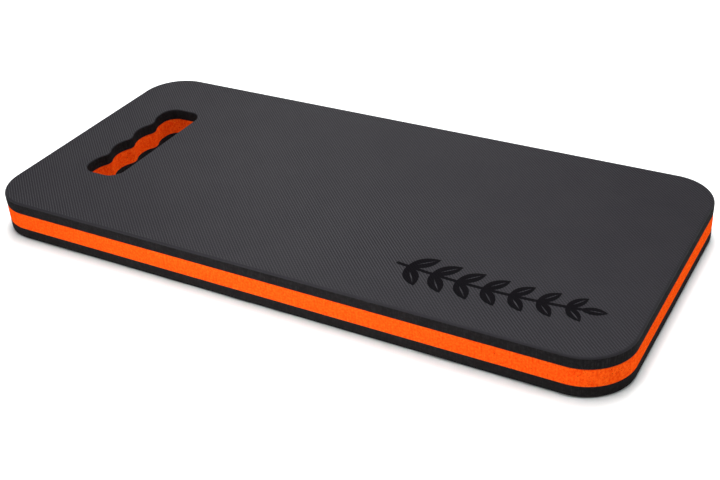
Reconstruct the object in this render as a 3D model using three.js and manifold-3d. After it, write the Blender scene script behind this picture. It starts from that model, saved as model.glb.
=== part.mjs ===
// A garden kneeling pad: a sheet of orange foam between two sheets of black foam, glued face to
// face and cut out by one die, with a hand hole at one end and a printed sprig on the top.
//
// Millimetres, +Z up. The origin is the middle of the pad's underside. X runs along the pad, with
// the hand hole at the -X end, and Y runs across it.

import * as THREE from 'three';
import { mergeVertices } from 'three/addons/utils/BufferGeometryUtils.js';
import Module from 'manifold-3d';

const wasm = await Module();
wasm.setup();

// ---- Pad sizes ----

const LENGTH = 450;
const WIDTH = 210;
const OUTER_SHEET = 7.9;      // thickness of each black sheet
const CORE_SHEET = 11.6;      // thickness of the orange sheet
const GLUE_LINE = 0.3;        // space between two sheets
const GLUE_GAP = 0.05;        // clearance from the glue film to the foam on each side of it
const CORNER_RADIUS = 31;     // corners of the pad, seen from above
const EDGE_ROUND = 2;         // rounding of the top and bottom rims

// ---- Hand hole sizes ----

const HOLE_END_MARGIN = 37.8; // foam left between the hole and the end of the pad
const HOLE_WIDTH = 30.7;      // along X, from the bottom of a finger hollow to the straight wall
const HOLE_OFFSET = 3.25;     // how far the hole's middle is from the pad's middle line
const HOLE_CORNER = 10;       // corner radius of the hole
const FINGERS = 4;            // finger hollows in the wall nearest the end of the pad
const FINGER_PITCH = 26;
const FINGER_DEPTH = 3.7;     // from the crest of a ridge to the bottom of a hollow
const RIDGE_RADIUS = 7;       // rounding of the ridges between fingers

// ---- Printed sprig sizes ----

const INK_GAP = 0.05;         // clearance from the foam to the ink
const INK_THICKNESS = 0.15;
const PRINT_END_MARGIN = 22;  // from the tip of the sprig to the end of the pad
const PRINT_SIDE_MARGIN = 38; // from the middle of the sprig to the side of the pad
const PRINT_LENGTH = 131;
const STEM_WIDTH = 2.4;
const STEM_BOW = 4;           // how far the stem's middle bends away from a straight line
const LEAF_PAIRS = 7;
const LEAF_LENGTH = 21;
const LEAF_WIDTH = 10;
const LEAF_LEAN = 0.85;       // radians between a leaf and the stem
const TIP_SHRINK = 0.3;       // share by which the last leaves are shorter than the first
const VEIN_WIDTH = 0.9;       // bare slit along the middle of each leaf
const VEIN_START = 0.25;      // where the slit starts, as a share of the leaf's length
const VEIN_SHARE = 0.6;       // the slit's length, as a share of the leaf's

// ---- Smoothness of round stretches ----

const ARC_STEPS = 8;          // half the number of sides in each arc of the pad's outline
const SMALL_ARC_STEPS = 4;    // the same for the hand hole, the rims and the leaves
const SAME_POINT = 0.001;     // points nearer than this are one point
const OVERCUT = 1;            // how far a cutting solid runs past what it cuts

// ---- Heights, from the underside up ----

const coreBottom = OUTER_SHEET + GLUE_LINE;
const coreTop = coreBottom + CORE_SHEET;
const topSheetBottom = coreTop + GLUE_LINE;
const padTop = topSheetBottom + OUTER_SHEET;

// ---- Materials ----

const foamBlack = { color: 0x343336, roughness: 0.85, metalness: 0 };
const foamOrange = { color: 0xfa5a12, roughness: 0.9, metalness: 0 };
const clearGlue = { color: 0x2b2420, roughness: 0.5, metalness: 0 };
const blackInk = { color: 0x141316, roughness: 0.6, metalness: 0 };

// ---- Solids from flat shapes ----

// Two arcs that meet repeat their shared point, and a solid wants each corner only once.
function cleanShape(path, steps) {
  const points = path.getPoints(steps);
  const kept = points.filter((point, i) => point.distanceTo(points.at(i - 1)) > SAME_POINT);
  return new THREE.Shape(kept);
}

function toSolid(geometry) {
  geometry.deleteAttribute('normal');
  geometry.deleteAttribute('uv');
  const merged = mergeVertices(geometry, SAME_POINT);
  const mesh = new wasm.Mesh({
    numProp: 3,
    vertProperties: Float32Array.from(merged.attributes.position.array),
    triVerts: Uint32Array.from(merged.index.array),
  });
  return new wasm.Manifold(mesh);
}

function toGeometry(solid) {
  const mesh = solid.getMesh();
  const geometry = new THREE.BufferGeometry();
  geometry.setAttribute('position', new THREE.BufferAttribute(mesh.vertProperties, mesh.numProp));
  geometry.setIndex(new THREE.BufferAttribute(mesh.triVerts, 1));
  geometry.computeVertexNormals();
  return geometry;
}

function prism(shape, bottom, top) {
  const geometry = new THREE.ExtrudeGeometry(shape, { depth: top - bottom, bevelEnabled: false });
  geometry.translate(0, 0, bottom);
  return toSolid(geometry);
}

// ---- The pad, cut out by the die ----

function padOutline() {
  const x = LENGTH / 2 - CORNER_RADIUS;
  const y = WIDTH / 2 - CORNER_RADIUS;
  const path = new THREE.Path();
  path.absarc(x, y, CORNER_RADIUS, 0, Math.PI / 2);
  path.absarc(-x, y, CORNER_RADIUS, Math.PI / 2, Math.PI);
  path.absarc(-x, -y, CORNER_RADIUS, Math.PI, 1.5 * Math.PI);
  path.absarc(x, -y, CORNER_RADIUS, 1.5 * Math.PI, 2 * Math.PI);
  return cleanShape(path, ARC_STEPS);
}

// The wall nearest the end of the pad has a hollow for each finger. A hollow is an arc that meets
// the arc of the ridge beside it without a corner, which settles both arcs from the finger pitch,
// the depth and the ridge's rounding.
function handHoleOutline() {
  const length = FINGERS * FINGER_PITCH;
  const corner = Math.min(HOLE_CORNER, FINGER_PITCH / 2);
  const outerX = -LENGTH / 2 + HOLE_END_MARGIN;
  const innerX = outerX + HOLE_WIDTH;
  const farY = HOLE_OFFSET + length / 2;
  const nearY = HOLE_OFFSET - length / 2;

  const halfPitch = FINGER_PITCH / 2;
  const bothRadii = (FINGER_DEPTH ** 2 + halfPitch ** 2) / (2 * FINGER_DEPTH);
  const hollowRadius = bothRadii - RIDGE_RADIUS;
  const turn = Math.atan2(halfPitch, bothRadii - FINGER_DEPTH);

  const path = new THREE.Path();
  path.absarc(innerX - corner, farY - corner, corner, 0, Math.PI / 2);
  path.absarc(outerX + corner, farY - corner, corner, Math.PI / 2, Math.PI);
  for (let i = 0; i < FINGERS; i++) {
    const y = farY - (i + 0.5) * FINGER_PITCH;
    const start = i === 0 ? Math.PI : Math.PI - turn;
    const end = i === FINGERS - 1 ? Math.PI : Math.PI + turn;
    path.absarc(outerX + hollowRadius, y, hollowRadius, start, end);
    if (i < FINGERS - 1) {
      const ridgeX = outerX + FINGER_DEPTH - RIDGE_RADIUS;
      path.absarc(ridgeX, y - halfPitch, RIDGE_RADIUS, turn, -turn, true);
    }
  }
  path.absarc(outerX + corner, nearY + corner, corner, Math.PI, 1.5 * Math.PI);
  path.absarc(innerX - corner, nearY + corner, corner, 1.5 * Math.PI, 2 * Math.PI);
  return cleanShape(path, SMALL_ARC_STEPS);
}

function dieCutBlock() {
  const geometry = new THREE.ExtrudeGeometry(padOutline(), {
    depth: padTop - 2 * EDGE_ROUND,
    bevelThickness: EDGE_ROUND,
    bevelSize: EDGE_ROUND,
    bevelOffset: -EDGE_ROUND,
    bevelSegments: SMALL_ARC_STEPS,
  });
  geometry.translate(0, 0, EDGE_ROUND);
  const handHole = prism(handHoleOutline(), -OVERCUT, padTop + OVERCUT);
  return toSolid(geometry).subtract(handHole);
}

const block = dieCutBlock();

// One layer of the die-cut block, between two heights.
function layer(bottom, top) {
  const slab = new THREE.BoxGeometry(2 * LENGTH, 2 * WIDTH, top - bottom);
  slab.translate(0, 0, (bottom + top) / 2);
  return block.intersect(toSolid(slab));
}

// ---- The printed sprig ----

// The stem runs along X through the sprig's own origin, and bows towards -Y.
const stemLength = PRINT_LENGTH - LEAF_LENGTH * (1 - TIP_SHRINK);
const stem = new THREE.QuadraticBezierCurve(
  new THREE.Vector2(-PRINT_LENGTH / 2, STEM_BOW),
  new THREE.Vector2(-PRINT_LENGTH / 2 + stemLength / 2, -STEM_BOW),
  new THREE.Vector2(-PRINT_LENGTH / 2 + stemLength, STEM_BOW),
);

function stemShape() {
  const steps = 2 * ARC_STEPS;
  const upper = [];
  const lower = [];
  for (let i = 0; i <= steps; i++) {
    const middle = stem.getPoint(i / steps);
    const along = stem.getTangent(i / steps);
    const out = new THREE.Vector2(-along.y, along.x).multiplyScalar(STEM_WIDTH / 2);
    upper.push(middle.clone().add(out));
    lower.unshift(middle.clone().sub(out));
  }
  return new THREE.Shape([...upper, ...lower]);
}

// A pointed oval from the origin along +X.
function ovalShape(start, length, width) {
  const path = new THREE.Path();
  path.moveTo(start, 0);
  path.quadraticCurveTo(start + length / 2, -width, start + length, 0);
  path.quadraticCurveTo(start + length / 2, width, start, 0);
  return cleanShape(path, ARC_STEPS);
}

// A leaf starts half a stem's width behind the origin, so that it always joins the stem.
function leaf(length, bottom, top) {
  const width = LEAF_WIDTH * (length / LEAF_LENGTH);
  const heel = STEM_WIDTH / 2;
  const blade = prism(ovalShape(-heel, length + heel, width), bottom, top);
  const slit = ovalShape(length * VEIN_START, length * VEIN_SHARE, VEIN_WIDTH);
  const vein = prism(slit, bottom - OVERCUT, top + OVERCUT);
  return blade.subtract(vein);
}

function printedSprig() {
  const bottom = padTop + INK_GAP;
  const top = bottom + INK_THICKNESS;
  let ink = prism(stemShape(), bottom, top);
  for (let i = 0; i < LEAF_PAIRS; i++) {
    const t = (i + 0.5) / LEAF_PAIRS;
    const at = stem.getPoint(t);
    const heading = THREE.MathUtils.radToDeg(stem.getTangent(t).angle());
    const lean = THREE.MathUtils.radToDeg(LEAF_LEAN);
    const blade = leaf(LEAF_LENGTH * (1 - TIP_SHRINK * t), bottom, top);
    for (const side of [-1, 1]) {
      ink = ink.add(blade.rotate([0, 0, heading + side * lean]).translate([at.x, at.y, 0]));
    }
  }
  const tip = stem.getPoint(1);
  const heading = THREE.MathUtils.radToDeg(stem.getTangent(1).angle());
  const tipLeaf = leaf(PRINT_LENGTH - stemLength, bottom, top);
  return ink.add(tipLeaf.rotate([0, 0, heading]).translate([tip.x, tip.y, 0]));
}

// ---- Assembly ----

const pad = new THREE.Group();

function addPiece(name, solid, look, x = 0, y = 0) {
  const mesh = new THREE.Mesh(toGeometry(solid), new THREE.MeshStandardMaterial(look));
  mesh.name = name;
  mesh.position.set(x, y, 0);
  pad.add(mesh);
}

addPiece('bottom_sheet', layer(-OVERCUT, OUTER_SHEET), foamBlack);
addPiece('lower_glue_film', layer(OUTER_SHEET + GLUE_GAP, coreBottom - GLUE_GAP), clearGlue);
addPiece('core_sheet', layer(coreBottom, coreTop), foamOrange);
addPiece('upper_glue_film', layer(coreTop + GLUE_GAP, topSheetBottom - GLUE_GAP), clearGlue);
addPiece('top_sheet', layer(topSheetBottom, padTop + OVERCUT), foamBlack);

const printX = LENGTH / 2 - PRINT_END_MARGIN - PRINT_LENGTH / 2;
const printY = -WIDTH / 2 + PRINT_SIDE_MARGIN;
addPiece('printed_sprig', printedSprig(), blackInk, printX, printY);

export default pad;
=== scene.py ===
# %% [markdown]
# # A garden kneeling pad
#
# The pad is a sandwich: soft orange foam between two sheets of black foam, glued face to face and
# cut out by one steel-rule die, hand hole and all. What a person sees is the ridged skin of the
# black sheets, the cut sides with their fine open cells, and one print in black ink.
#
# The CAD model already holds the true sizes, and it is loaded as a frame that nothing moves. Each
# piece below is modelled afresh in the place of its CAD solid, so the fine shape can be added:
# rounded rims, walls that swell a little where the foam springs back from the blade, and the
# embossing. Lengths are in metres, as Blender counts them.

# %% Load the frame
import math

import bmesh
import bpy
from mathutils import Matrix, Quaternion, Vector


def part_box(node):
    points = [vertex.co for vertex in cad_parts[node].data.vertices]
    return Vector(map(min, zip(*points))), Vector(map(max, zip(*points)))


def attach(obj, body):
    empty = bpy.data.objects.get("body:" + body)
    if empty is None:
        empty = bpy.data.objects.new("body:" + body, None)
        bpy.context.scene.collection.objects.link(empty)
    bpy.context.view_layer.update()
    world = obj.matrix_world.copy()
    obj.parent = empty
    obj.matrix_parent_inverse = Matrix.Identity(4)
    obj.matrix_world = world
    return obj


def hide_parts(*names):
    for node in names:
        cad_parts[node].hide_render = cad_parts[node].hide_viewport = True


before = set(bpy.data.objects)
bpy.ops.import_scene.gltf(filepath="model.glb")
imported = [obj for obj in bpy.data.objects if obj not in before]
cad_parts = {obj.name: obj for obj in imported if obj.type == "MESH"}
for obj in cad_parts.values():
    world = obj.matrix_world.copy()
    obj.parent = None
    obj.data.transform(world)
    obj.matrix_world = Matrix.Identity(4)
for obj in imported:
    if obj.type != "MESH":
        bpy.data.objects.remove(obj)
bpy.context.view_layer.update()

MM = 0.001
bottom_low, bottom_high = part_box("bottom_sheet")
core_low, core_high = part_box("core_sheet")
top_low, top_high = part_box("top_sheet")
print("pad size in mm:", [round(side / MM, 1) for side in top_high - bottom_low])

# %% [markdown]
# ## The camera
#
# The camera comes first, because every later choice is judged through it. It stands in front of the
# pad's long side, a little to the right, and looks down at about a third of a right angle, as a
# person sees a pad lying on a table. It could be placed by hand with location and rotation fields,
# but turning it round a target keeps the pad in the middle: the turn, the rise and the tilt are
# then three plain angles.

# %% Place the camera
CAMERA_TARGET = Vector((16.9, -13.0, 0.0)) * MM
CAMERA_TURN = math.radians(31.21)
CAMERA_RISE = math.radians(32.53)
CAMERA_TILT = math.radians(-3.96)
CAMERA_DISTANCE = 774.4 * MM
LENS = 58.18
SENSOR = 36.0
NEAREST_SEEN = 0.01


def away_from(turn, rise):
    """The direction from a target to someone who looks at it from that turn and rise."""
    level = math.cos(rise)
    return Vector((math.sin(turn) * level, -math.cos(turn) * level, math.sin(rise)))


def add_camera():
    camera = bpy.data.objects.new("camera", bpy.data.cameras.new("camera"))
    camera.data.lens = LENS
    camera.data.sensor_width = SENSOR
    camera.data.clip_start = NEAREST_SEEN
    back = away_from(CAMERA_TURN, CAMERA_RISE)
    facing = back.to_track_quat("Z", "Y") @ Quaternion((0, 0, 1), CAMERA_TILT)
    camera.matrix_world = Matrix.LocRotScale(CAMERA_TARGET + back * CAMERA_DISTANCE, facing, None)
    bpy.context.scene.collection.objects.link(camera)
    bpy.context.scene.camera = camera
    return camera


camera = add_camera()
print("camera at", [round(value, 3) for value in camera.location])

# %% [markdown]
# ## The die's blade
#
# One strip of steel, bent round, cut all the layers in one stroke. That is also the best way to
# draw the outline here: a single vertex walks along the blade, and each move is a straight run or
# a bend. A run extrudes the vertex, and a bend spins it about a centre, so every arc is a true arc.
#
# The same list of moves also gives every ring inside or outside the blade: the runs keep their
# length, and each bend only changes its radius. That makes rounded rims possible without a bevel,
# which has trouble with the tight ridges between the finger hollows.

# %% Moves of the blade
CORNER_RADIUS = 31 * MM
HOLE_END_MARGIN = 37.8 * MM
HOLE_WIDTH = 30.7 * MM
HOLE_OFFSET = 3.25 * MM
HOLE_CORNER = 10 * MM
FINGERS = 4
FINGER_PITCH = 26 * MM
FINGER_DEPTH = 3.7 * MM
RIDGE_RADIUS = 7 * MM

RUN_STEP = 5 * MM
BEND_STEP = 0.9 * MM


def run(length):
    return {"length": length}


def bend(radius, degrees):
    return {"radius": radius, "angle": math.radians(degrees)}


def pad_moves():
    """Anticlockwise from the start of the front side, where Y is lowest."""
    long_run = run(core_high.x - core_low.x - 2 * CORNER_RADIUS)
    short_run = run(core_high.y - core_low.y - 2 * CORNER_RADIUS)
    corner = bend(CORNER_RADIUS, 90)
    return [long_run, corner, short_run, corner] * 2


def hole_moves():
    """Anticlockwise from the start of the straight wall, which faces the fingertips."""
    half_pitch = FINGER_PITCH / 2
    both_radii = (FINGER_DEPTH**2 + half_pitch**2) / (2 * FINGER_DEPTH)
    lean = math.degrees(math.atan2(half_pitch, both_radii - FINGER_DEPTH))
    finger_radius = both_radii - RIDGE_RADIUS
    corner = bend(HOLE_CORNER, 90)
    end_run = run(HOLE_WIDTH - 2 * HOLE_CORNER)
    lead = run(half_pitch - HOLE_CORNER)
    half_finger = bend(finger_radius, lean)
    between = [half_finger, bend(RIDGE_RADIUS, -2 * lean), half_finger]
    straight = run(FINGERS * FINGER_PITCH - 2 * HOLE_CORNER)
    return [straight, corner, end_run, corner, lead] + between * (FINGERS - 1) + [
        lead, corner, end_run, corner]


PAD_BLADE = {
    "moves": pad_moves(),
    "start": Vector((core_low.x + CORNER_RADIUS, core_low.y, 0)),
    "heading": Vector((1, 0, 0)),
}
HOLE_BLADE = {
    "moves": hole_moves(),
    "start": Vector((
        core_low.x + HOLE_END_MARGIN + HOLE_WIDTH,
        HOLE_OFFSET - FINGERS * FINGER_PITCH / 2 + HOLE_CORNER,
        0,
    )),
    "heading": Vector((0, 1, 0)),
}
print("the hole's blade makes", len(HOLE_BLADE["moves"]), "moves")

# %% Walk one vertex along the blade
UP = Vector((0, 0, 1))


def walk(blade):
    """A mesh of one closed ring of edges. Each vertex remembers its way out, to the blade's right."""
    bm = bmesh.new()
    outward = bm.verts.layers.float_vector.new("outward")
    heading = blade["heading"].copy()
    start = point = bmesh.ops.create_vert(bm, co=blade["start"])["vert"][0]
    start[outward] = heading.cross(UP)
    for move in blade["moves"]:
        out = heading.cross(UP)
        first = len(bm.verts)
        if "length" in move:
            steps = max(1, round(move["length"] / RUN_STEP))
            for _ in range(steps):
                point = bmesh.ops.extrude_vert_indiv(bm, verts=[point])["verts"][0]
                point.co += heading * (move["length"] / steps)
                point[outward] = out
            continue
        angle = move["angle"]
        centre = point.co - out * math.copysign(move["radius"], angle)
        steps = max(2, round(abs(angle) * move["radius"] / BEND_STEP))
        made = bmesh.ops.spin(
            bm, geom=[point], cent=centre, axis=UP, dvec=(0, 0, 0), angle=angle, steps=steps,
            use_merge=False, use_normal_flip=False, use_duplicate=False)
        point = made["geom_last"][0]
        bm.verts.ensure_lookup_table()
        for i, vertex in enumerate(bm.verts[first:], start=1):
            vertex[outward] = Quaternion(UP, angle * i / steps) @ out
        heading = Quaternion(UP, angle) @ heading
    bmesh.ops.pointmerge(bm, verts=[start, point], merge_co=start.co)
    ring = bpy.data.meshes.new("blade")
    bm.to_mesh(ring)
    bm.free()
    return ring


pad_ring = walk(PAD_BLADE)
hole_ring = walk(HOLE_BLADE)
print("edges of the blade:", len(pad_ring.edges), "round the pad,", len(hole_ring.edges), "round the hole")

# %% [markdown]
# ## A sheet cut by the die
#
# Every layer has the same outline, and only its edge differs. So a layer is described by its
# section: a list of how far the wall stands back from the blade at each height. The blade's ring is
# extruded once for each line of that list, every vertex moves back along its own outward direction,
# and the two faces are filled in. The hand hole is made the same way, and there back means away
# from the opening, which is outward.
#
# A round rim is a quarter circle in the section. The foam also swells a little between its two
# faces once the blade has left it, by a tenth or two of a millimetre, which catches the light along
# the sides.

# %% Sections of the cut edge
SEAM_ROUND = 0.12 * MM
SEAM_STEPS = 2
RIM_STEPS = 8
WALL_STEPS = 6


def round_edge(radius, height, inward):
    """A quarter circle that ends on a face. inward is 1 at a lower face and -1 at an upper one."""
    steps = RIM_STEPS if radius > SEAM_ROUND else SEAM_STEPS
    turns = [math.pi / 2 * i / steps for i in range(steps + 1)]
    arc = [(radius * (1 - math.sin(t)), height + inward * radius * (1 - math.cos(t))) for t in turns]
    return arc if inward > 0 else arc[::-1]


def section(bottom, top, low_round, high_round, swell):
    """(distance back from the blade, height) from the lower face to the upper face."""
    low = round_edge(low_round, bottom, 1)
    high = round_edge(high_round, top, -1)
    start, end = low[-1][1], high[0][1]
    wall = [(0.0, start + (end - start) * i / WALL_STEPS) for i in range(1, WALL_STEPS)]
    middle, half = (bottom + top) / 2, (top - bottom) / 2
    return [(back + swell * ((z - middle) / half) ** 2, z) for back, z in low + wall + high]


# %% Build one sheet
def raise_wall(bm, ring, lines, way):
    """Extrudes the ring up a section. Returns its lowest and highest edges."""
    outward = bm.verts.layers.float_vector["outward"]
    lowest = ring
    back_now = 0.0
    for i, (back, height) in enumerate(lines):
        if i > 0:
            made = bmesh.ops.extrude_edge_only(bm, edges=ring)["geom"]
            raised = {item for item in made if isinstance(item, bmesh.types.BMVert)}
            ring = [edge for edge in bm.edges if raised.issuperset(edge.verts)]
        for vertex in {vertex for edge in ring for vertex in edge.verts}:
            vertex.co += vertex[outward] * (way * (back - back_now))
            vertex.co.z = height
        back_now = back
    return lowest, ring


def die_cut_sheet(pad_section, hole_section):
    bm = bmesh.new()
    bm.from_mesh(pad_ring)
    pad_edges = bm.edges[:]
    bm.from_mesh(hole_ring)
    hole_edges = [edge for edge in bm.edges if edge not in set(pad_edges)]
    pad_ends = raise_wall(bm, pad_edges, pad_section, -1)
    hole_ends = raise_wall(bm, hole_edges, hole_section, 1)
    for face in bm.faces:
        face.smooth = True
    for pad_end, hole_end in zip(pad_ends, hole_ends):
        bmesh.ops.triangle_fill(bm, use_beauty=True, edges=pad_end + hole_end)
    bmesh.ops.recalc_face_normals(bm, faces=bm.faces)
    return bm


def to_object(bm, name):
    mesh = bpy.data.meshes.new(name)
    bm.to_mesh(mesh)
    bm.free()
    piece = bpy.data.objects.new(name, mesh)
    bpy.context.scene.collection.objects.link(piece)
    print(name, "has", len(mesh.polygons), "faces")
    return piece


# %% [markdown]
# ## The orange core
#
# The core is the plain case: cut on all sides and glued on both faces. Its faces are never seen,
# so all the work is in its edge.

# %% Cut the core
SEAM_CLOSE = 0.1 * MM
CORE_SWELL = 0.2 * MM


def cut_core():
    bottom, top = core_low.z - SEAM_CLOSE, core_high.z + SEAM_CLOSE
    edge = section(bottom, top, SEAM_ROUND, SEAM_ROUND, CORE_SWELL)
    return to_object(die_cut_sheet(edge, edge), "orange_core_foam")


core = cut_core()

# %% [markdown]
# ## The embossed skin
#
# Black foam comes off a steel roller that presses fine ridges into its skin, set at 47 degrees to
# the pad's sides. Along each ridge the roller also leaves a row of small swellings. They could be a
# bump in the material, but then the surface would be flat from close up and in any other program.
# Real ridges are cheap to make instead: a grid, with every second row of points raised. Each ridge
# edge is then cut in two, and the new point in its middle is raised a little more.
#
# The grid is always laid on the same lattice, wherever the patch is, so two patches made apart
# still match line for line. The ink needs that later on.

# %% Roll the ridges
RIDGE_PITCH = 1.68 * MM
SWELLING_PITCH = 2.1 * MM
RIDGE_HEIGHT = 0.15 * MM
SADDLE_SHARE = 0.7
RIDGE_TURN = math.radians(47)
SAME_PLACE = 1e-7


def raise_ridges(bm):
    """Raises every second row of a flat grid whose rows run along Y."""
    row_step = RIDGE_PITCH / 2
    on_ridge = {vertex for vertex in bm.verts if round(vertex.co.x / row_step) % 2}
    bmesh.ops.translate(bm, verts=list(on_ridge), vec=(0, 0, RIDGE_HEIGHT * SADDLE_SHARE))
    crests = [edge for edge in bm.edges if on_ridge.issuperset(edge.verts)]
    made = bmesh.ops.subdivide_edges(bm, edges=crests, cuts=1)["geom_inner"]
    tops = [item for item in made if isinstance(item, bmesh.types.BMVert)]
    bmesh.ops.translate(bm, verts=tops, vec=(0, 0, RIDGE_HEIGHT * (1 - SADDLE_SHARE)))
    bmesh.ops.triangulate(bm, faces=bm.faces[:])


def ridges(bm, low, high, height):
    """Ridges over the box from low to high, seen from above, with their tops at that height."""
    turn = Matrix.Rotation(RIDGE_TURN, 4, "Z")
    middle = turn.inverted() @ ((low + high) / 2)
    steps = Vector((RIDGE_PITCH, SWELLING_PITCH, 1))
    on_lattice = Vector([round(middle[i] / steps[i]) * steps[i] for i in range(2)]).to_3d()
    reach = (high - low).xy.length / 2
    across, along = (2 * math.ceil(reach / step) for step in steps.xy)
    size = Matrix.Diagonal((across * RIDGE_PITCH / 2, along * SWELLING_PITCH / 2, 1, 1))
    bmesh.ops.create_grid(bm, x_segments=2 * across, y_segments=along, size=1, matrix=size)
    raise_ridges(bm)
    place = turn @ Matrix.Translation(on_lattice + Vector((0, 0, height - RIDGE_HEIGHT)))
    bmesh.ops.transform(bm, matrix=place, verts=bm.verts)
    for axis in (Vector((1, 0, 0)), Vector((0, 1, 0))):
        for corner, way in ((low, -1), (high, 1)):
            bmesh.ops.bisect_plane(
                bm, geom=bm.verts[:] + bm.edges[:] + bm.faces[:], dist=SAME_PLACE, plane_co=corner,
                plane_no=axis * way, clear_outer=True)


# %% [markdown]
# ## Cutting the skin to shape
#
# The skin starts as a slab that is larger than the pad, and a boolean keeps only what lies inside
# the rounded sheet as well. Where the sheet's rim curves down below the slab, the sheet's own
# smooth surface is left, as on a rim that the press has closed. The ridges stay a hair below the
# sheet's flat face, so that the two never touch in a point or a line.

# %% Keep what two solids share
SKIN_MARGIN = Vector((3, 3, 0)) * MM
SKIN_SINK = 0.01 * MM
SLAB_DEPTH = 20 * MM


def embossed_slab(low, high, height):
    bm = bmesh.new()
    ridges(bm, low, high, height)
    rim = [edge for edge in bm.edges if edge.is_boundary]
    made = bmesh.ops.extrude_edge_only(bm, edges=rim)["geom"]
    for item in made:
        if isinstance(item, bmesh.types.BMVert):
            item.co.z = height - SLAB_DEPTH
    bmesh.ops.contextual_create(bm, geom=[edge for edge in bm.edges if edge.is_boundary])
    bmesh.ops.recalc_face_normals(bm, faces=bm.faces)
    return to_object(bm, "skin_slab")


def keep_shared(piece, other):
    """Cuts piece down to what lies inside other too, and removes other."""
    cut = piece.modifiers.new("cut", "BOOLEAN")
    cut.operation = "INTERSECT"
    cut.solver = "MANIFOLD"
    cut.object = other
    bpy.context.view_layer.update()
    graph = bpy.context.evaluated_depsgraph_get()
    mesh = bpy.data.meshes.new_from_object(piece.evaluated_get(graph))
    piece.modifiers.clear()
    piece.data = mesh
    bpy.data.objects.remove(other)
    print(piece.name, "now has", len(mesh.polygons), "faces")


# %% [markdown]
# ## The black sheets
#
# The upper sheet has a rim rounded by 2 mm outside and 1 mm round the hand hole, and a lower edge
# at the glue line that is almost sharp. The lower sheet came off the same roll and was cut by the
# same stroke, so it is the upper sheet's mirror image in the pad's middle plane. Mirroring turns a
# mesh inside out, so its faces are reversed afterwards.

# %% Cut the top sheet and mirror it for the bottom
PAD_RIM = 2 * MM
HOLE_RIM = 1 * MM
SHEET_SWELL = 0.1 * MM


def cut_top():
    bottom, top = top_low.z - SEAM_CLOSE, top_high.z
    outside = section(bottom, top, SEAM_ROUND, PAD_RIM, SHEET_SWELL)
    inside = section(bottom, top, SEAM_ROUND, HOLE_RIM, SHEET_SWELL)
    sheet = to_object(die_cut_sheet(outside, inside), "top_black_foam")
    slab = embossed_slab(top_low - SKIN_MARGIN, top_high + SKIN_MARGIN, top - SKIN_SINK)
    keep_shared(sheet, slab)
    return sheet


def mirror_down(sheet, name):
    middle = (bottom_low.z + top_high.z) / 2
    bm = bmesh.new()
    bm.from_mesh(sheet.data)
    to_middle = Matrix.Translation((0, 0, -middle))
    bmesh.ops.scale(bm, verts=bm.verts, vec=(1, 1, -1), space=to_middle)
    bmesh.ops.reverse_faces(bm, faces=bm.faces)
    return to_object(bm, name)


top_sheet = cut_top()
bottom_sheet = mirror_down(top_sheet, "bottom_black_foam")

# %% [markdown]
# ## The glue
#
# Between two sheets lies a film of glue a tenth of a millimetre thick. The foam draws back from it
# a little at the cut, so all that shows is a fine dark line in the groove of the seam.

# %% Lay the glue films
GLUE_BACK = 0.3 * MM


def glue_film(name, bottom, top):
    edge = [(GLUE_BACK, bottom), (GLUE_BACK, top)]
    return to_object(die_cut_sheet(edge, edge), name)


lower_glue = glue_film("lower_glue_line", bottom_high.z + SEAM_CLOSE, core_low.z - SEAM_CLOSE)
upper_glue = glue_film("upper_glue_line", core_high.z + SEAM_CLOSE, top_low.z - SEAM_CLOSE)

# %% [markdown]
# ## The print
#
# The sprig is one layer of black ink, thin enough to follow every ridge of the skin. It is made
# as a second sheet of ridges on the same lattice, a few hundredths of a millimetre higher and
# given a thickness, and cut out by the sprig's own outline. That outline is the CAD solid's: a copy
# of it is merged, stretched upright, and used as the cutter.

# %% Print the sprig
INK_LIFT = 0.03 * MM
INK_THICKNESS = 0.05 * MM
CUTTER_STRETCH = 20


def sprig_cutter():
    bm = bmesh.new()
    bm.from_mesh(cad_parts["printed_sprig"].data)
    bmesh.ops.remove_doubles(bm, verts=bm.verts, dist=SAME_PLACE)
    low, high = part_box("printed_sprig")
    to_middle = Matrix.Translation(-(low + high) / 2)
    bmesh.ops.scale(bm, verts=bm.verts, vec=(1, 1, CUTTER_STRETCH), space=to_middle)
    return to_object(bm, "sprig_cutter")


def print_sprig():
    low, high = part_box("printed_sprig")
    bm = bmesh.new()
    ridges(bm, low - SKIN_MARGIN, high + SKIN_MARGIN, top_high.z - SKIN_SINK + INK_LIFT)
    bmesh.ops.solidify(bm, geom=bm.faces[:], thickness=-INK_THICKNESS)
    bmesh.ops.recalc_face_normals(bm, faces=bm.faces)
    ink = to_object(bm, "printed_sprig_ink")
    keep_shared(ink, sprig_cutter())
    return ink


ink = print_sprig()

# %% [markdown]
# ## Node groups for foam
#
# Foam shows the same few things wherever it is cut or pressed: round cells, small pits where a cell
# is open, lines the blade has drawn, a fine grain in the skin, and a little dust. Each of these is
# built once as a node group, and every finish below takes the ones it needs with its own sizes.
#
# The groups measure in metres. Their sizes are those of the real thing, such as a cell of 0.4 mm,
# and the place comes in as Object coordinates, so a pattern stays on its piece.

# %% Helpers for nodes
def add_node(tree, kind, values=None, **settings):
    """Adds a node with its settings. values gives numbers or links for its sockets, by name."""
    node = tree.nodes.new(kind)
    for name, setting in settings.items():
        setattr(node, name, setting)
    for name, value in (values or {}).items():
        socket = node.inputs[name]
        if isinstance(value, bpy.types.NodeSocket):
            tree.links.new(value, socket)
        else:
            socket.default_value = value
    return node


def maths(tree, operation, first, second=0.0):
    node = add_node(tree, "ShaderNodeMath", {0: first, 1: second}, operation=operation)
    return node.outputs[0]


def remap(tree, value, start, end, low=0.0, high=1.0):
    """Takes the range from start to end to the range from low to high, and stops at its ends."""
    values = {"Value": value, "From Min": start, "From Max": end, "To Min": low, "To Max": high}
    return add_node(tree, "ShaderNodeMapRange", values).outputs["Result"]


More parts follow.
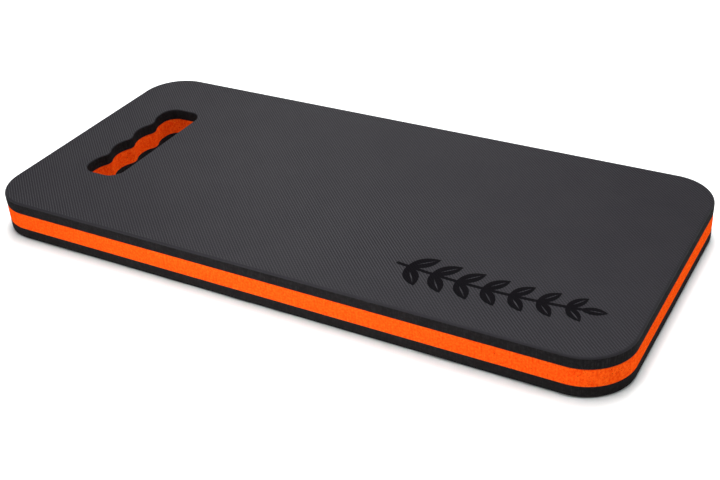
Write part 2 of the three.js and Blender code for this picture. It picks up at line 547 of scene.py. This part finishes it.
def blend_colors(tree, share, first, second):
    node = add_node(tree, "ShaderNodeMix", {"Factor": share}, data_type="RGBA")
    for socket, color in ((node.inputs["A"], first), (node.inputs["B"], second)):
        if isinstance(color, bpy.types.NodeSocket):
            tree.links.new(color, socket)
        else:
            socket.default_value = (*color, 1)
    return node.outputs["Result"]


def new_group(name, sizes, results):
    """An empty group that takes a place and some sizes. Returns it with its input node."""
    group = bpy.data.node_groups.new(name, "ShaderNodeTree")
    group.interface.new_socket("Place", in_out="INPUT", socket_type="NodeSocketVector")
    for size in sizes:
        group.interface.new_socket(size, in_out="INPUT", socket_type="NodeSocketFloat")
    for result in results:
        group.interface.new_socket(result, in_out="OUTPUT", socket_type="NodeSocketFloat")
    return group, add_node(group, "NodeGroupInput")


def in_units_of(group, place, size):
    """The place measured in a size, so that a texture of scale 1 has features that large."""
    per_unit = maths(group, "DIVIDE", 1.0, size)
    values = {"Vector": place, "Scale": per_unit}
    return add_node(group, "ShaderNodeVectorMath", values, operation="SCALE").outputs["Vector"]


# %% Cells of the foam
OPEN_CELLS_FROM, OPEN_CELLS_TO = 0.86, 0.90
PIT_CENTRE, PIT_EDGE = 0.15, 0.45
CELL_REACH = 0.8
PIT_DEPTH = 2.0


def build_cells():
    group, given = new_group("foam_cells", ["Cell Size"], ["Height", "Pits", "Shade"])
    place = in_units_of(group, given.outputs["Place"], given.outputs["Cell Size"])
    cells = add_node(group, "ShaderNodeTexVoronoi", {"Vector": place, "Scale": 1.0})
    random = add_node(group, "ShaderNodeSeparateColor", {"Color": cells.outputs["Color"]})
    open_cell = remap(group, random.outputs["Red"], OPEN_CELLS_FROM, OPEN_CELLS_TO)
    centre = remap(group, cells.outputs["Distance"], PIT_CENTRE, PIT_EDGE, 1.0, 0.0)
    pits = maths(group, "MULTIPLY", open_cell, centre)
    dome = remap(group, cells.outputs["Distance"], 0.0, CELL_REACH, 1.0, 0.0)
    height = maths(group, "SUBTRACT", dome, maths(group, "MULTIPLY", pits, PIT_DEPTH))
    results = {"Height": height, "Pits": pits, "Shade": random.outputs["Green"]}
    add_node(group, "NodeGroupOutput", results)
    return group


# %% Lines drawn by the blade
UPRIGHT_STRETCH = (1.0, 1.0, 0.06)
LINES_DARK, LINES_LIGHT = 0.35, 0.65


def build_blade_lines():
    """Lines that run up the wall: a noise that hardly changes with height."""
    group, given = new_group("blade_lines", ["Line Width"], ["Height", "Shade"])
    place = in_units_of(group, given.outputs["Place"], given.outputs["Line Width"])
    upright = add_node(group, "ShaderNodeMapping", {"Vector": place, "Scale": UPRIGHT_STRETCH})
    values = {"Vector": upright.outputs["Vector"], "Scale": 1.0, "Detail": 2.0}
    lines = add_node(group, "ShaderNodeTexNoise", values)
    height = lines.outputs["Fac"]
    shade = remap(group, height, LINES_DARK, LINES_LIGHT)
    add_node(group, "NodeGroupOutput", {"Height": height, "Shade": shade})
    return group


# %% Grain of the skin
WIDE_GRAIN_SCALE = 0.25
GRAIN_DARK, GRAIN_LIGHT = 0.7, 1.3


def build_grain():
    """The roller's own matt surface: two noises, one fine and one four times as wide."""
    group, given = new_group("skin_grain", ["Grain Size"], ["Height", "Shade"])
    place = in_units_of(group, given.outputs["Place"], given.outputs["Grain Size"])
    fine = add_node(group, "ShaderNodeTexNoise", {"Vector": place, "Scale": 1.0, "Detail": 3.0})
    wide = add_node(group, "ShaderNodeTexNoise", {"Vector": place, "Scale": WIDE_GRAIN_SCALE, "Detail": 1.0})
    both = maths(group, "ADD", fine.outputs["Fac"], wide.outputs["Fac"])
    shade = remap(group, both, GRAIN_DARK, GRAIN_LIGHT)
    add_node(group, "NodeGroupOutput", {"Height": fine.outputs["Fac"], "Shade": shade})
    return group


# %% Dust and uneven colour
PATCH_DARK, PATCH_LIGHT = 0.38, 0.62
SPECKS_FROM = 0.5
LARGEST_SPECK = 0.22


def build_patches():
    """Soft patches of the mix's uneven colour, and specks of dust scattered over them."""
    sizes = ["Patch Size", "Speck Spacing"]
    group, given = new_group("patches_and_specks", sizes, ["Patches", "Specks"])
    broad = in_units_of(group, given.outputs["Place"], given.outputs["Patch Size"])
    cloud = add_node(group, "ShaderNodeTexNoise", {"Vector": broad, "Scale": 1.0, "Detail": 3.0})
    patches = remap(group, cloud.outputs["Fac"], PATCH_DARK, PATCH_LIGHT)
    apart = in_units_of(group, given.outputs["Place"], given.outputs["Speck Spacing"])
    dots = add_node(group, "ShaderNodeTexVoronoi", {"Vector": apart, "Scale": 1.0})
    random = add_node(group, "ShaderNodeSeparateColor", {"Color": dots.outputs["Color"]})
    radius = remap(group, random.outputs["Blue"], SPECKS_FROM, 1.0, 0.0, LARGEST_SPECK)
    specks = maths(group, "LESS_THAN", dots.outputs["Distance"], radius)
    add_node(group, "NodeGroupOutput", {"Patches": patches, "Specks": specks})
    return group


cells_group = build_cells()
blade_group = build_blade_lines()
grain_group = build_grain()
patches_group = build_patches()
print("node groups:", [group.name for group in bpy.data.node_groups])

# %% [markdown]
# ## A finish
#
# Every finish below starts the same way: a material with a Principled shader whose even values,
# such as its specular level, are set on the shader itself, and a Mapping node that puts the origin
# in the middle of the pad. Then it adds its own groups, and links only what changes over the
# surface: colour, roughness and the normal.

# %% Start a finish
def new_finish(name, roughness, specular):
    material = bpy.data.materials.new(name)
    material.use_nodes = True
    tree = material.node_tree
    shader = tree.nodes["Principled BSDF"]
    shader.inputs["Roughness"].default_value = roughness
    shader.inputs["Specular IOR Level"].default_value = specular
    middle = (bottom_low.z + top_high.z) / 2
    values = {
        "Vector": add_node(tree, "ShaderNodeTexCoord").outputs["Object"],
        "Location": (0.0, 0.0, -middle),
    }
    place = add_node(tree, "ShaderNodeMapping", values).outputs["Vector"]
    return material, tree, shader, place


def use_group(tree, group, place, **sizes):
    node = add_node(tree, "ShaderNodeGroup", node_tree=group)
    tree.links.new(place, node.inputs["Place"])
    for name, size in sizes.items():
        node.inputs[name.replace("_", " ")].default_value = size
    return node


def set_surface(tree, shader, color, roughness, height, relief):
    """Links what changes over the surface. relief is the depth in metres that height 1 stands for."""
    tree.links.new(color, shader.inputs["Base Color"])
    tree.links.new(roughness, shader.inputs["Roughness"])
    bump = add_node(tree, "ShaderNodeBump", {"Height": height, "Distance": relief})
    tree.links.new(bump.outputs["Normal"], shader.inputs["Normal"])


# %% [markdown]
# ## The finish of the orange foam
#
# Cut foam is dull through and through, because its open cells trap the light. Its colour is never
# quite even: the pigment lies in soft patches, and the blade has drawn faint upright lines. Open
# cells show as darker pinholes, which is painted shade; specks of dust take the same dark colour.

# %% Orange foam
ORANGE = (0.88, 0.114, 0.0090)
ORANGE_DEEP = (0.76, 0.038, 0.0012)
# The dark of the open pits is painted shade; the specks of dust share this colour.
ORANGE_PIT_SHADE_AND_SPECK = (0.30, 0.020, 0.001)
CLOUD_SHARE = 0.65
LINE_SHARE = 0.35


def orange_finish():
    material, tree, shader, place = new_finish("orange_cut_foam", roughness=0.9, specular=0.0)
    cells = use_group(tree, cells_group, place, Cell_Size=0.45 * MM)
    lines = use_group(tree, blade_group, place, Line_Width=0.7 * MM)
    patches = use_group(tree, patches_group, place, Patch_Size=1.5 * MM, Speck_Spacing=1.4 * MM)
    cloudy = maths(tree, "MULTIPLY", patches.outputs["Patches"], CLOUD_SHARE)
    drawn = maths(tree, "MULTIPLY", lines.outputs["Shade"], LINE_SHARE)
    color = blend_colors(tree, maths(tree, "ADD", cloudy, drawn), ORANGE, ORANGE_DEEP)
    # Painted shade: the open pits are darkened in the colour.
    color = blend_colors(tree, cells.outputs["Pits"], color, ORANGE_PIT_SHADE_AND_SPECK)
    color = blend_colors(tree, patches.outputs["Specks"], color, ORANGE_PIT_SHADE_AND_SPECK)
    roughness = remap(tree, cells.outputs["Shade"], 0.0, 1.0, 0.82, 1.0)
    height = maths(tree, "ADD", cells.outputs["Height"], lines.outputs["Height"])
    set_surface(tree, shader, color, roughness, height, relief=0.05 * MM)
    return material


# %% [markdown]
# ## The finishes of the black foam
#
# The black sheets need two finishes. Their cut sides are like the orange foam's, only black. Their
# skin was pressed smooth by the roller, so it is denser and closes the cells: it is a shade
# lighter, shines softly at a low angle, and has a fine grain of its own. Between the ridges its
# colour is painted much darker, a painted shade in the grooves, and there it is rougher too. Where
# the skin rolls over the rim, the blade has bruised it: there it is rougher, and its grain is coarser.
#
# The tops of the ridges and the grooves between them differ only in height, so the height itself
# makes that mask: the distance from the pad's middle plane, which suits both sheets at once.

# %% Black skin and black cut
SKIN = (0.0125, 0.0113, 0.0145)
# Painted shade: the colour of the grooves between the ridges.
SKIN_GROOVE_SHADE = (0.0008, 0.0007, 0.0010)
SKIN_DUST = (0.03, 0.029, 0.03)
SKIN_RIM = (0.014, 0.0135, 0.0145)
SKIN_SHINE = (0.93, 0.90, 1.0, 1)
CUT = (0.0078, 0.0071, 0.0075)
CUT_CELL = (0.0180, 0.0163, 0.0169)
DUST_SHARE = 0.06
SKIN_POLISHED, SKIN_MATT = 0.28, 0.36
GROOVE_ROUGHER = 0.3
MASK_FADE = 1 / 3


def groove_mask(tree, place):
    """1 in the grooves between the ridges and 0 on their tops, on both faces of the pad."""
    parts = add_node(tree, "ShaderNodeSeparateXYZ", {"Vector": place})
    from_middle = maths(tree, "ABSOLUTE", parts.outputs["Z"])
    ridge_top = (top_high.z - bottom_low.z) / 2 - SKIN_SINK
    groove_floor = ridge_top - RIDGE_HEIGHT
    return remap(tree, from_middle, groove_floor, ridge_top - RIDGE_HEIGHT * MASK_FADE, 1.0, 0.0)


def skin_finish():
    material, tree, shader, place = new_finish("embossed_black_skin", roughness=0.32, specular=0.12)
    shader.inputs["Specular Tint"].default_value = SKIN_SHINE
    grain = use_group(tree, grain_group, place, Grain_Size=0.12 * MM)
    patches = use_group(tree, patches_group, place, Patch_Size=24 * MM, Speck_Spacing=5 * MM)
    groove = groove_mask(tree, place)
    # Painted shade: the grooves between the ridges are darkened in the colour.
    color = blend_colors(tree, groove, SKIN, SKIN_GROOVE_SHADE)
    worn = maths(tree, "MULTIPLY", patches.outputs["Patches"], DUST_SHARE)
    color = blend_colors(tree, worn, color, SKIN_DUST)
    polish = remap(tree, grain.outputs["Shade"], 0.0, 1.0, SKIN_POLISHED, SKIN_MATT)
    roughness = maths(tree, "ADD", polish, maths(tree, "MULTIPLY", groove, GROOVE_ROUGHER))
    set_surface(tree, shader, color, roughness, grain.outputs["Height"], relief=0.02 * MM)
    return material


def rim_finish():
    material, tree, shader, place = new_finish("rolled_black_rim", roughness=0.6, specular=0.12)
    shader.inputs["Specular Tint"].default_value = SKIN_SHINE
    grain = use_group(tree, grain_group, place, Grain_Size=0.5 * MM)
    color = blend_colors(tree, grain.outputs["Shade"], SKIN, SKIN_RIM)
    roughness = remap(tree, grain.outputs["Shade"], 0.0, 1.0, 0.5, 0.7)
    set_surface(tree, shader, color, roughness, grain.outputs["Height"], relief=0.12 * MM)
    return material


def black_cut_finish():
    material, tree, shader, place = new_finish("black_cut_foam", roughness=0.9, specular=0.025)
    cells = use_group(tree, cells_group, place, Cell_Size=0.35 * MM)
    lines = use_group(tree, blade_group, place, Line_Width=0.7 * MM)
    patches = use_group(tree, patches_group, place, Patch_Size=1.8 * MM, Speck_Spacing=1.1 * MM)
    shade = maths(tree, "MULTIPLY", patches.outputs["Patches"], lines.outputs["Shade"])
    color = blend_colors(tree, shade, CUT, CUT_CELL)
    roughness = remap(tree, cells.outputs["Shade"], 0.0, 1.0, 0.8, 1.0)
    height = maths(tree, "ADD", cells.outputs["Height"], lines.outputs["Height"])
    set_surface(tree, shader, color, roughness, height, relief=0.04 * MM)
    return material


# %% [markdown]
# ## The finishes of the glue and the ink
#
# The glue has dried dark with the dust of the cut. The ink is a flat black that fills the skin's
# grain only partly, so the same grain shows in it, weaker, and so do the grooves.

# %% Glue and ink
GLUE = (0.012, 0.008, 0.007)
GLUE_THIN = (0.05, 0.02, 0.008)
INK = (0.0026, 0.0023, 0.0030)
INK_THIN = (0.0050, 0.0045, 0.0056)


def glue_finish():
    material, tree, shader, place = new_finish("dried_glue", roughness=0.4, specular=0.4)
    patches = use_group(tree, patches_group, place, Patch_Size=3 * MM, Speck_Spacing=2 * MM)
    color = blend_colors(tree, patches.outputs["Patches"], GLUE, GLUE_THIN)
    roughness = remap(tree, patches.outputs["Patches"], 0.0, 1.0, 0.3, 0.6)
    set_surface(tree, shader, color, roughness, patches.outputs["Patches"], relief=0.05 * MM)
    return material


def ink_finish():
    material, tree, shader, place = new_finish("black_print_ink", roughness=0.75, specular=0.01)
    grain = use_group(tree, grain_group, place, Grain_Size=0.12 * MM)
    color = blend_colors(tree, grain.outputs["Shade"], INK, INK_THIN)
    roughness = remap(tree, grain.outputs["Shade"], 0.0, 1.0, 0.65, 0.85)
    set_surface(tree, shader, color, roughness, grain.outputs["Height"], relief=0.01 * MM)
    return material


# %% [markdown]
# ## Putting the finishes on
#
# A black sheet gets three finishes, and each face takes the one for how it was made. The ridges are
# shaded flat and the die-cut surface smooth, which tells them apart. Of the smooth faces, those that
# look up or down belong to the rolled rim, and those that look sideways were cut by the blade.

# %% Dress the pieces
SKIN_REACH = math.cos(math.radians(70))


def dress(piece, *materials):
    piece.data.materials.clear()
    for material in materials:
        piece.data.materials.append(material)


def finish_of(face):
    """Its material slot: 0 for the embossed skin, 1 for the rolled rim, 2 for the cut wall."""
    if not face.use_smooth:
        return 0
    return 1 if abs(face.normal.z) > SKIN_REACH else 2


black_finishes = [skin_finish(), rim_finish(), black_cut_finish()]
for sheet in (top_sheet, bottom_sheet):
    dress(sheet, *black_finishes)
    for face in sheet.data.polygons:
        face.material_index = finish_of(face)
    slots = [face.material_index for face in sheet.data.polygons]
    print(sheet.name, "faces:", slots.count(0), "skin,", slots.count(1), "rim,", slots.count(2), "cut")
dress(core, orange_finish())
glue = glue_finish()
for film in (lower_glue, upper_glue):
    dress(film, glue)
dress(ink, ink_finish())

# %% [markdown]
# ## Joining the frame
#
# The pad is one body without a joint, so every piece rides on the root. Each one stands for one CAD
# solid, which is hidden; the table also names the slot of that solid's finish.

# %% Ride and replace
STANDS_FOR = [
    (bottom_sheet, "bottom_sheet", "embossed_black_foam"),
    (lower_glue, "lower_glue_film", "clear_glue"),
    (core, "core_sheet", "orange_core_foam"),
    (upper_glue, "upper_glue_film", "clear_glue"),
    (top_sheet, "top_sheet", "embossed_black_foam"),
    (ink, "printed_sprig", "black_ink"),
]
for piece, node, slot in STANDS_FOR:
    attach(piece, "root")
    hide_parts(node)
print(len(STANDS_FOR), "pieces stand for", len(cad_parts), "nodes")

# %% [markdown]
# ## The floor
#
# A plain white floor, no larger than the pool of light on it: further out it would turn grey, and a
# low view would show where. It matters for the looks, because a white floor throws light up onto
# the pad's dark sides.

# %% Lay the floor
FLOOR_HALF = 0.9
FLOOR_WHITE = (0.86, 0.9, 0.9, 1)


def lay_floor():
    bm = bmesh.new()
    bmesh.ops.create_grid(bm, x_segments=1, y_segments=1, size=FLOOR_HALF)
    floor = to_object(bm, "floor")
    material = bpy.data.materials.new("white_floor")
    material.use_nodes = True
    shader = material.node_tree.nodes["Principled BSDF"]
    shader.inputs["Base Color"].default_value = FLOOR_WHITE
    shader.inputs["Roughness"].default_value = 1.0
    shader.inputs["Specular IOR Level"].default_value = 0.0
    dress(floor, material)
    return floor


floor = lay_floor()

# %% [markdown]
# ## The lights
#
# Black foam is all about where the light comes from. Four softboxes do it, in the white room that
# the world gives:
#
# - the key hangs nearly overhead, a little behind the pad, so the shadow in front is narrow;
# - the sheen box stands far behind, opposite the camera, and its soft reflection in the skin makes
#   the middle of the face lighter than its two ends;
# - the two side boxes brighten the front and the right side. Between them, towards the camera, it
#   stays darker, and so does the corner that faces it.
#
# A softbox could be placed by location and rotation, but here it is turned round the pad like the
# camera: turn, rise, distance, and it always faces the pad.
#
# The room's walls are white, so a low view past the edge of the floor meets white too. If they lit
# the pad as brightly as they look, the softboxes would hardly count. So the world has two
# backgrounds: a white one that the camera sees directly, and a dim one for all other light.

# %% Hang the softboxes
WORLD_LIGHT = 0.2
WALLS_SEEN = 1.0
SOFTBOXES = [
    {"name": "key_softbox", "turn": 195, "rise": 79, "far": 2.2, "size": (1.0, 2.0), "watts": 82.0},
    {"name": "sheen_softbox", "turn": 218, "rise": 40, "far": 1.6, "size": (0.8, 0.8), "watts": 6.2},
    {"name": "front_softbox", "turn": -30, "rise": 12, "far": 1.2, "size": (0.3, 0.3), "watts": 0.48,
     "spread": 26, "aim": (10, -105, 14)},
    {"name": "right_softbox", "turn": 100, "rise": 20, "far": 1.6, "size": (0.5, 0.5), "watts": 6.0},
]


def hang_softbox(name, turn, rise, far, size, watts, spread=180, aim=(0, 0, 0)):
    data = bpy.data.lights.new(name, "AREA")
    data.shape = "RECTANGLE"
    data.size, data.size_y = size
    data.energy = watts
    data.spread = math.radians(spread)
    softbox = bpy.data.objects.new(name, data)
    back = away_from(math.radians(turn), math.radians(rise))
    facing = back.to_track_quat("Z", "Y")
    softbox.matrix_world = Matrix.LocRotScale(Vector(aim) * MM + back * far, facing, None)
    bpy.context.scene.collection.objects.link(softbox)


for softbox in SOFTBOXES:
    hang_softbox(**softbox)


def paint_room():
    world = bpy.data.worlds.new("white_room")
    world.use_nodes = True
    tree = world.node_tree
    walls = tree.nodes["Background"]
    walls.inputs["Color"].default_value = (1, 1, 1, 1)
    walls.inputs["Strength"].default_value = WALLS_SEEN
    dim = add_node(tree, "ShaderNodeBackground", {"Color": (1, 1, 1, 1), "Strength": WORLD_LIGHT})
    seen = add_node(tree, "ShaderNodeLightPath").outputs["Is Camera Ray"]
    both = {0: seen, 1: dim.outputs["Background"], 2: walls.outputs["Background"]}
    mixed = add_node(tree, "ShaderNodeMixShader", both)
    tree.links.new(mixed.outputs["Shader"], tree.nodes["World Output"].inputs["Surface"])
    return world


bpy.context.scene.world = paint_room()
bpy.context.scene.view_settings.view_transform = "Standard"
print(len(SOFTBOXES), "softboxes hang round the pad")
